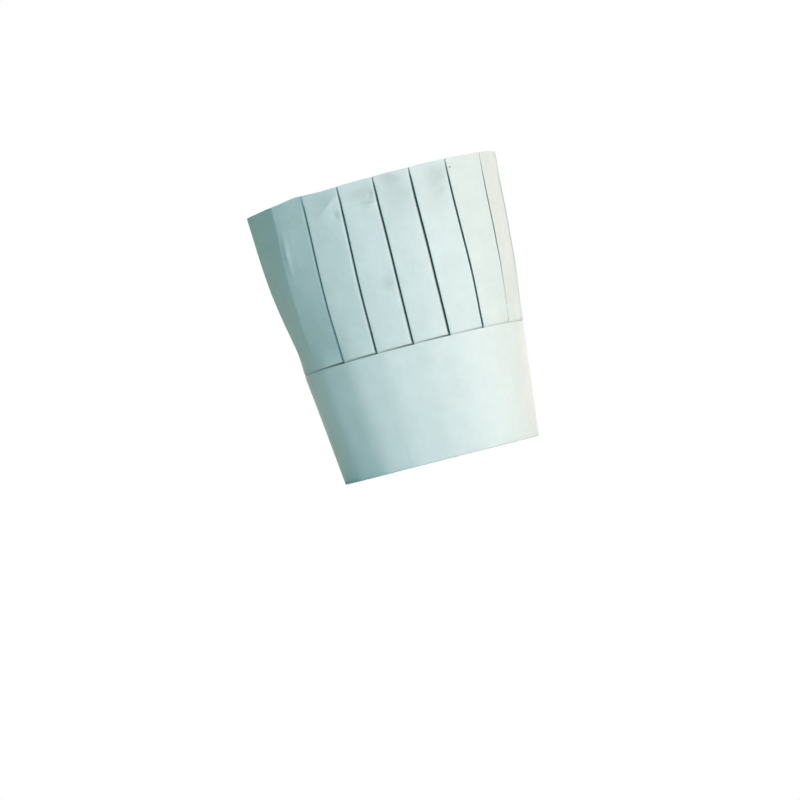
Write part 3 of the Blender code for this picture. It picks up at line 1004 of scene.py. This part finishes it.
def vent_cutter():
    """Round punches on an oval inside the top."""
    f = form()
    bm = bmesh.new()
    width = VENT_RING_LENGTH * f.rim_width / f.rim_length
    arc, x_table, y_table = oval(VENT_RING_LENGTH, width, f.oval_power)
    for i in range(f.vents):
        place = (i + 0.5) / f.vents * arc[-1]
        centre = Vector((np.interp(place, arc, x_table), np.interp(place, arc, y_table), f.hat_height))
        bmesh.ops.create_cone(
            bm, cap_ends=True, segments=24, radius1=f.vent_radius, radius2=f.vent_radius,
            depth=4 * TOP_FLANGE, matrix=Matrix.Translation(centre),
        )
    return bm


class TOQUE_OT_top(bpy.types.Operator):
    """Set the vented tissue top inside the rim"""

    bl_idname = "toque.top"
    bl_label = "Flat top"

    def execute(self, context):
        f = form()
        top = add_piece("vented_tissue_top", top_sheet(), tissue_paper())
        thicken(top, f.tissue)
        punch = add_piece("vent_punch", vent_cutter())
        cut = top.modifiers.new("vents", "BOOLEAN")
        cut.operation = "DIFFERENCE"
        cut.solver = "EXACT"
        cut.object = punch
        bake(top)
        bpy.data.objects.remove(punch)
        seat(top, "hat", "crown_top")
        return {"FINISHED"}


# Lining

FACING_FOOT = 5 * MM
FACING_DROP = 4 * MM
FACING_DEPTH = 2.85 * MM
FACING_BUTT = 1.0 * MM
FACING_WAVE = 0.12 * MM
FACING_ROWS = 14
LINING_COLUMNS = 260
SWEATBAND_LENGTH = 190 * MM
SWEATBAND_HEIGHT = 35 * MM
SWEATBAND_FOOT = 9 * MM
SWEATBAND_DEPTH = 3.45 * MM
SWEATBAND_BODY = 1.2 * MM
SWEATBAND_THIN = 0.25      # share of that left at its edges
SWEATBAND_GAIN = 0.6       # and share gained within them
SWEATBAND_EDGE = 4 * MM    # width over which its edges are rounded
SWEATBAND_ROWS = 26
CREPE_PITCH = 2.2 * MM
CREPE_HEIGHT = 0.16 * MM
CREPE_WANDER = 2.2         # how far its ridges stray, in radians of their pitch


def facing_sheet():
    """Strip round the inside of the band, butted at the back."""
    half_butt = FACING_BUTT / girth(form().band_height / 2) / 2
    shares = np.linspace(BACK + half_butt, BACK + 1.0 - half_butt, LINING_COLUMNS)
    rows = []
    for z in np.linspace(FACING_FOOT, form().band_height - FACING_DROP, FACING_ROWS):
        waves = FACING_WAVE * (1 + ripple(ring(z, shares, 0.0), 25 * MM, 60 * MM, 8))
        rows.append(ring(z, shares, FACING_DEPTH + waves + band_flats(z, shares)))
        seam_dip(rows[-1])
    return folded_sheet(np.array(rows))


def sweatband_pad():
    """Soft strip across the forehead: flat on the facing, creped and rounded inside."""
    half = SWEATBAND_LENGTH / girth(SWEATBAND_FOOT) / 2
    shares = np.linspace(FRONT - half, FRONT + half, LINING_COLUMNS)
    levels = np.linspace(SWEATBAND_FOOT, SWEATBAND_FOOT + SWEATBAND_HEIGHT, SWEATBAND_ROWS)
    back = np.array([ring(z, shares, SWEATBAND_DEPTH + band_flats(z, shares)) for z in levels])
    along = (shares - FRONT) * girth(SWEATBAND_FOOT)
    to_end = SWEATBAND_LENGTH / 2 - np.abs(along)
    inside = []
    for z in levels:
        to_side = min(z - levels[0], levels[-1] - z)
        full = smooth(to_end, -0.5 * MM, SWEATBAND_EDGE) * smooth(to_side, -0.5 * MM, SWEATBAND_EDGE)
        full = np.sqrt(full)
        phase = 2 * pi * along / CREPE_PITCH + CREPE_WANDER * ripple(ring(z, shares, 0.0), 9 * MM, 14 * MM, 9)
        body = SWEATBAND_BODY * (SWEATBAND_THIN + SWEATBAND_GAIN * full)
        body = body + CREPE_HEIGHT * np.sin(phase) * full
        inside.append(ring(z, shares, SWEATBAND_DEPTH + body + band_flats(z, shares)))
    inside = np.array(inside)
    size = back.shape[:2]
    bm = flat_grid(*size)
    row_layer = bm.verts.layers.int.new("row")
    column_layer = bm.verts.layers.int.new("column")
    for vert, row, column in grid_spots(bm, *size):
        vert[row_layer] = row
        vert[column_layer] = column
    raised = bmesh.ops.extrude_face_region(bm, geom=bm.faces[:], use_keep_orig=True)
    raised = set(new_items(raised, bmesh.types.BMVert))
    for vert in bm.verts:
        side = inside if vert in raised else back
        vert.co = side[vert[row_layer], vert[column_layer]]
    if bm.calc_volume(signed=True) < 0:
        bmesh.ops.reverse_faces(bm, faces=bm.faces)
    return bm


class TOQUE_OT_lining(bpy.types.Operator):
    """Line the band with its facing and the forehead strip"""

    bl_idname = "toque.lining"
    bl_label = "Lining"

    def execute(self, context):
        facing = add_piece("band_facing", facing_sheet(), uncoated_paper())
        thicken(facing, form().paper)
        seat(facing, "hat", "headband_facing")
        girth(form().band_height / 2)
        pad = bake(add_piece("crepe_sweatband", sweatband_pad(), creped_wadding()))
        seat(pad, "hat", "sweatband")
        return {"FINISHED"}


# Size tab

TAB_HEIGHT = 34 * MM
TAB_LENGTH = 46 * MM
TAB_ROOT = 14 * MM
TAB_ROUND = 9 * MM         # radius of the free end's corners
ROUND_STEPS = 13
TAB_RISE = 12 * MM         # length over which it rises over the patches
TAB_ROWS = 17
ROOT_DEPTH = -0.6 * MM     # outer face of the glued part
FREE_DEPTH = -2.3 * MM     # outer face of the free part, over the patches
CREASE = 0.3 * MM
PATCH_MARGIN = 4 * MM
HOOK_LENGTH = 22 * MM
HOOK_BACK = -1.7 * MM      # outer face of the hook patch
HOOK_BASE = 0.25 * MM
LOOP_LENGTH = 58 * MM
LOOP_START = 4 * MM
LOOP_FACE = -0.55 * MM     # outer face of the loop patch's ground
LOOP_BASE = 0.2 * MM
HOOK_ROWS, HOOK_COLUMNS = 13, 11
HOOK_PATH = ((0, 0, 0), (0, 0, -0.35), (0, 0.06, -0.5), (0, 0.22, -0.53), (0, 0.3, -0.42))   # in mm
HOOK_WIRE = 0.11 * MM      # radius
LOOP_ROWS, LOOP_COLUMNS = 15, 32
LOOP_SIZE = (0.55, 0.12, 0.38)       # in mm: half length, sideways, height
LOOP_WIRE = 0.1 * MM
HOOK_TURN, LOOP_TURN = 0.5, 3.0      # how far they are turned at most, in radians
SPRIG_SHARP = radians(50)  # edges of a hook or loop beyond this angle stay hard


def tab_half_height(along):
    """Half height of the tab at a distance from its fold line, round at the free end."""
    into_round = np.clip(along - (TAB_LENGTH - TAB_ROUND), 0.0, TAB_ROUND)
    return TAB_HEIGHT / 2 - TAB_ROUND + np.sqrt(TAB_ROUND ** 2 - into_round ** 2)


def tab_piece(name, along, depths, half_heights, material, thickness):
    """Patch on the band, from distances past the fold line, thickened behind its outer face."""
    middle = JOINT["pos_m"][2]
    loop = girth(middle)
    fold = fold_share()
    rows = [
        [
            ring(middle + part * half, [fold - far / loop], [depth])[0]
            for far, depth, half in np.broadcast(along, depths, half_heights)
        ]
        for part in np.linspace(1.0, -1.0, TAB_ROWS)
    ]
    piece = add_piece(name, folded_sheet(np.array(rows)), material)
    thicken(piece, thickness)
    return piece


def wire(path, radius, sides):
    """Mesh of a thin bent wire: a small disc extruded from point to point."""
    bm = bmesh.new()
    first = (path[1] - path[0]).to_track_quat("Z", "Y").to_matrix().to_4x4()
    bmesh.ops.create_circle(
        bm, cap_ends=True, segments=sides, radius=radius, matrix=Matrix.Translation(path[0]) @ first
    )
    edges = bm.edges[:]
    heading = path[1] - path[0]
    for here, there, beyond in zip(path, path[1:], [*path[2:], None]):
        grown = bmesh.ops.extrude_edge_only(bm, edges=edges)
        verts = new_items(grown, bmesh.types.BMVert)
        edges = new_items(grown, bmesh.types.BMEdge)
        bmesh.ops.translate(bm, verts=verts, vec=there - here)
        if beyond is not None:
            onward = beyond - here
            turn = heading.rotation_difference(onward).to_matrix()
            bmesh.ops.rotate(bm, verts=verts, cent=there, matrix=turn)
            heading = onward
    bmesh.ops.contextual_create(bm, geom=edges)
    bmesh.ops.recalc_face_normals(bm, faces=bm.faces)
    mesh = bpy.data.meshes.new("wire")
    bm.to_mesh(mesh)
    bm.free()
    return mesh


def plant(piece, sprig, places):
    """Add copies of a small mesh to a piece."""
    bm = bmesh.new()
    bm.from_mesh(piece.data)
    for place in places:
        count = len(bm.verts)
        bm.from_mesh(sprig)
        bm.verts.ensure_lookup_table()
        bmesh.ops.transform(bm, matrix=place, verts=bm.verts[count:])
    bm.to_mesh(piece.data)
    bm.free()
    bpy.data.meshes.remove(sprig)
    piece.data.shade_smooth()
    piece.data.set_sharp_from_angle(angle=SPRIG_SHARP)


def patch_places(first, length, rows, columns, depth, turn):
    """Even places over a patch, each turned about its own outward axis."""
    middle = JOINT["pos_m"][2]
    loop = girth(middle)
    fold = fold_share()
    half = TAB_HEIGHT / 2 - PATCH_MARGIN
    for row in range(rows):
        for column in range(columns):
            far = first + (column + 0.5 + 0.25 * (row % 2)) / (columns + 0.5) * length
            up = middle - half + (row + 0.5) / rows * 2 * half
            spin = turn * noise.noise(Vector((row * 1.7, column * 2.3, 0.4)))
            yield on_skin(fold - far / loop, up, depth) @ Matrix.Rotation(spin, 4, "Z")


class TOQUE_OT_closure(bpy.types.Operator):
    """Add the size tab with its hooks and loops"""

    bl_idname = "toque.closure"
    bl_label = "Size tab"

    def execute(self, context):
        thickness = form().paper
        paper = calendered_paper()

        far = np.linspace(-CREASE / 2 - TAB_ROOT, -CREASE / 2, 12)
        root = tab_piece("tab_glued_root", far, ROOT_DEPTH, TAB_HEIGHT / 2, paper, thickness)
        seat(root, "hat", "tab_root")

        round_part = TAB_LENGTH - TAB_ROUND + TAB_ROUND * np.sin(steps(ROUND_STEPS, pi / 2))
        far = np.concatenate((np.linspace(CREASE / 2, TAB_LENGTH - TAB_ROUND, 24), round_part))
        depths = ROOT_DEPTH + (FREE_DEPTH - ROOT_DEPTH) * smooth(far, 0.0, TAB_RISE)
        flap = tab_piece("size_tab", far, depths, tab_half_height(far), paper, thickness)
        seat(flap, "tab", "closure_tab")

        half = TAB_HEIGHT / 2 - PATCH_MARGIN
        start = TAB_LENGTH - PATCH_MARGIN - HOOK_LENGTH
        far = np.linspace(start, start + HOOK_LENGTH, 14)
        hard = nylon("moulded_nylon_hooks", 0.45)
        hooks = tab_piece("hook_patch", far, HOOK_BACK, half, hard, HOOK_BASE)
        crook = [Vector(point) * MM for point in HOOK_PATH]
        places = patch_places(
            start, HOOK_LENGTH, HOOK_ROWS, HOOK_COLUMNS, depth=HOOK_BACK + HOOK_BASE * 0.8, turn=HOOK_TURN
        )
        plant(hooks, wire(crook, HOOK_WIRE, sides=5), places)
        seat(hooks, "tab", "hook_pad")

        start = LOOP_START + CREASE
        far = np.linspace(start, start + LOOP_LENGTH, 24)
        knitted = nylon("knitted_nylon_loops", 0.8)
        loops = tab_piece("loop_patch", far, LOOP_FACE, half, knitted, LOOP_BASE)
        reach, sideways, high = LOOP_SIZE
        curl = [
            Vector((reach * cos(a), sideways * sin(2 * a), high * sin(a))) * MM
            for a in np.linspace(0.0, pi, 7)
        ]
        places = patch_places(
            start, LOOP_LENGTH, LOOP_ROWS, LOOP_COLUMNS, depth=LOOP_FACE + LOOP_BASE / 2, turn=LOOP_TURN
        )
        plant(loops, wire(curl, LOOP_WIRE, sides=4), places)
        seat(loops, "hat", "loop_strip")
        return {"FINISHED"}


# Stage

AIM_ALONG = -26.4 * MM     # middle of the picture on the hat's side plane
AIM_UP = 69 * MM
SENSOR = 36.0
FLOOR_RADIUS = 1.5
FLOOR_DROP = 0.2 * MM      # gap under the hat
FLOOR_LIFT = 0.6           # white added to the board as the camera sees it
FLOOR_FADE = (0.35, 0.95)  # shares of the radius over which the board fades out
PAD_RADIUS = 72 * MM       # glowing patch of board inside the hat, which lights the lining
PAD_CORE = 0.6 * PAD_RADIUS          # radius within which it glows in full
PAD_GLOW = 0.6
WHITE = (1.0, 1.0, 1.0, 1.0)
LAMPS = (                  # name, place, size, power
    ("key", (1.74, -1.93, 0.6), 1.2, 51.2),
    ("fill", (-0.23, -2.58, 0.7), 1.0, 19.3),
    ("overhead", (0.0, 0.1, 2.2), 1.6, 17.0),
    ("back", (1.4, 2.2, 0.9), 1.4, 34.0),
    ("side", (-0.6, 2.55, 0.9), 1.2, 16.0),
)


def floor_material():
    """Pale board that fades into the white around it and keeps the hat's shadow."""
    material = bpy.data.materials.new("pale_board")
    material.use_nodes = True
    tree = material.node_tree
    tree.nodes.clear()
    place = add_node(tree, "ShaderNodeTexCoord").outputs["Object"]
    board = add_node(tree, "ShaderNodeBsdfDiffuse", {"Color": (*linear("#E0E4E1"), 1.0)})
    path = add_node(tree, "ShaderNodeLightPath").outputs
    away = add_node(tree, "ShaderNodeVectorMath", {0: place}, operation="LENGTH").outputs["Value"]
    under = add_node(
        tree, "ShaderNodeMapRange",
        {"Value": away, "From Min": PAD_CORE, "From Max": PAD_RADIUS, "To Min": PAD_GLOW, "To Max": 0.0},
    )
    lift = add_node(
        tree, "ShaderNodeMath", {0: path["Is Camera Ray"], 1: FLOOR_LIFT, 2: under.outputs["Result"]},
        operation="MULTIPLY_ADD",
    )
    glow = add_node(tree, "ShaderNodeEmission", {"Color": WHITE, "Strength": lift.outputs[0]})
    lit = add_node(tree, "ShaderNodeAddShader", {0: board.outputs[0], 1: glow.outputs[0]})
    near, far = (share * FLOOR_RADIUS for share in FLOOR_FADE)
    fade = add_node(
        tree, "ShaderNodeMapRange", {"Value": away, "From Min": near, "From Max": far},
        interpolation_type="SMOOTHSTEP",
    )
    below = add_node(tree, "ShaderNodeNewGeometry").outputs["Backfacing"]
    clear = add_node(tree, "ShaderNodeMath", {0: fade.outputs["Result"], 1: below}, operation="MAXIMUM")
    nothing = add_node(tree, "ShaderNodeBsdfTransparent")
    mix = add_node(
        tree, "ShaderNodeMixShader", {0: clear.outputs[0], 1: lit.outputs[0], 2: nothing.outputs[0]}
    )
    add_node(tree, "ShaderNodeOutputMaterial", {"Surface": mix.outputs[0]})
    return material


def light_world(around):
    """White to the camera and in reflections, an even fill for everything else."""
    world = bpy.data.worlds.new("studio")
    bpy.context.scene.world = world
    world.use_nodes = True
    tree = world.node_tree
    tree.nodes.clear()
    path = add_node(tree, "ShaderNodeLightPath").outputs
    seen = path["Is Camera Ray"]
    for kind in ("Is Glossy Ray", "Is Transmission Ray"):
        seen = add_node(tree, "ShaderNodeMath", {0: seen, 1: path[kind]}, operation="MAXIMUM").outputs[0]
    soft = add_node(tree, "ShaderNodeBackground", {"Color": (*around, 1.0), "Strength": 1.0})
    white = add_node(tree, "ShaderNodeBackground", {"Color": WHITE, "Strength": 1.0})
    mix = add_node(tree, "ShaderNodeMixShader", {0: seen, 1: soft.outputs[0], 2: white.outputs[0]})
    add_node(tree, "ShaderNodeOutputWorld", {"Surface": mix.outputs[0]})


def aimed(place, target, up):
    """Placement at a point, looking along -Z at a target."""
    back = (place - target).normalized()
    right = up.cross(back).normalized()
    turned = Matrix((right, back.cross(right), back)).transposed().to_4x4()
    turned.translation = place
    return turned


class TOQUE_OT_stage(bpy.types.Operator):
    """Add the camera, the lamps and the pale floor"""

    bl_idname = "toque.stage"
    bl_label = "Studio"

    def execute(self, context):
        scene = context.scene
        s = scene.toque_stage
        scene.view_settings.view_transform = "Standard"

        target = Vector((AIM_ALONG, 0.0, AIM_UP))
        lens = bpy.data.cameras.new("camera")
        lens.sensor_width = SENSOR
        lens.lens = SENSOR * s.distance / s.view_width
        camera = bpy.data.objects.new("camera", lens)
        scene.collection.objects.link(camera)
        eye = Vector((AIM_ALONG, -s.distance, s.eye_height))
        camera.matrix_world = aimed(eye, target, Vector((sin(s.lean), 0.0, cos(s.lean))))
        scene.camera = camera

        middle = Vector((0.0, 0.0, 0.5 * form().hat_height))
        for name, place, size, power in LAMPS:
            lamp = bpy.data.lights.new(name, "AREA")
            lamp.size = size
            lamp.energy = power
            lamp.color = getattr(s, name, WHITE[:3])
            holder = bpy.data.objects.new(name, lamp)
            scene.collection.objects.link(holder)
            holder.matrix_world = aimed(Vector(place), middle, Vector((0.0, 0.3, 1.0)))
        light_world(tuple(s.around))

        bm = bmesh.new()
        bmesh.ops.create_circle(bm, cap_ends=True, segments=96, radius=FLOOR_RADIUS)
        bmesh.ops.translate(bm, verts=bm.verts, vec=(0.0, 0.0, -FLOOR_DROP))
        floor = add_piece("floor", bm, floor_material())
        return {"FINISHED"}


class TOQUE_PT_sidebar(bpy.types.Panel):
    """Pieces of the hat and their sizes"""

    bl_idname = "TOQUE_PT_sidebar"
    bl_label = "Pleated toque"
    bl_space_type = "VIEW_3D"
    bl_region_type = "UI"
    bl_category = "Toque"

    def draw(self, context):
        for operator in OPERATORS:
            self.layout.operator(operator.bl_idname)
        scene = context.scene
        for title, group in (
            ("Sizes", scene.toque_form), ("Colours", scene.toque_colours), ("Studio", scene.toque_stage),
        ):
            box = self.layout.box()
            box.label(text=title)
            for name in group.__annotations__:
                box.prop(group, name)


GROUPS = {"toque_form": ToqueForm, "toque_colours": ToqueColours, "toque_stage": ToqueStage}
OPERATORS = (
    TOQUE_OT_stage, TOQUE_OT_headband, TOQUE_OT_crown, TOQUE_OT_top, TOQUE_OT_lining, TOQUE_OT_closure,
)


def register():
    """Register the properties, the operators and the panel."""
    for name, group in GROUPS.items():
        bpy.utils.register_class(group)
        setattr(bpy.types.Scene, name, PointerProperty(type=group))
    for cls in (*OPERATORS, TOQUE_PT_sidebar):
        bpy.utils.register_class(cls)


def unregister():
    """Take everything out again."""
    for cls in (TOQUE_PT_sidebar, *reversed(OPERATORS)):
        bpy.utils.unregister_class(cls)
    for name, group in reversed(GROUPS.items()):
        delattr(bpy.types.Scene, name)
        bpy.utils.unregister_class(group)


def main():
    """Register and build every piece in order."""
    register()
    for operator in OPERATORS:
        family, name = operator.bl_idname.split(".")
        getattr(getattr(bpy.ops, family), name)()


if __name__ == "__main__":
    main()
